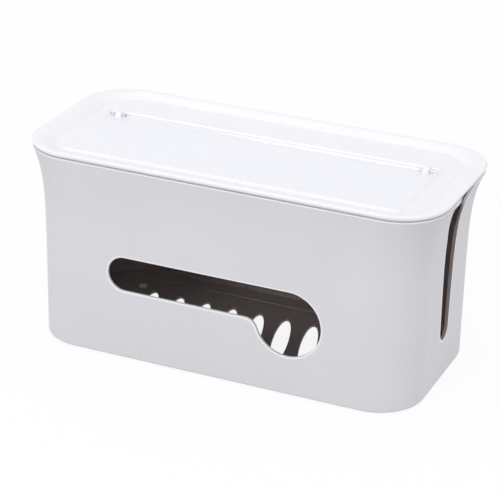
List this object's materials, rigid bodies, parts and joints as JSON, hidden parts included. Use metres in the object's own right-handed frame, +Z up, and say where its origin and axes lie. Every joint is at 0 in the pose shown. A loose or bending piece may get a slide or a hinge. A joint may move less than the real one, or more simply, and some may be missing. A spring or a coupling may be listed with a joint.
{
  "type": "cable management box",
  "caption": "Free-standing box that hides a power strip and cables, with a window and end slots for leads, a vented floor, a lift-off tray lid and a hinged clear flap.",
  "frame": {"origin": "on the surface the box stands on, under the middle of the box", "axes": "+X along the box towards the end nearer the window's round lobe, -Y out of the window wall, +Z up"},
  "size_m": [0.3226, 0.1478, 0.1552],
  "materials": {
    "shell_plastic": "fine satin moulding, light grey",
    "foot_rubber": "matte, pale grey",
    "lid_plastic": "satin gloss, white",
    "clear_plastic": "clear, polished",
    "pin_steel": "plain drawn wire"
  },
  "bodies": {
    "box": {"box_shell": "shell_plastic", "foot_front_left": "foot_rubber", "foot_rear_left": "foot_rubber", "foot_front_right": "foot_rubber", "foot_rear_right": "foot_rubber"},
    "lid": {"lid_tray": "lid_plastic", "hinge_pin_left": "pin_steel", "hinge_pin_right": "pin_steel"},
    "flap": {"clear_flap": "clear_plastic"}
  },
  "joints": [
    {"name": "lid_lift", "type": "slide", "parent": "box", "child": "lid", "axis": [0, 0, 1], "range_m": [0, 0.08]},
    {"name": "flap_hinge", "type": "hinge", "parent": "lid", "child": "flap", "pos_m": [0, 0.02045, 0.1526], "axis": [-1, 0, 0], "range_deg": [0, 110]}
  ]
}
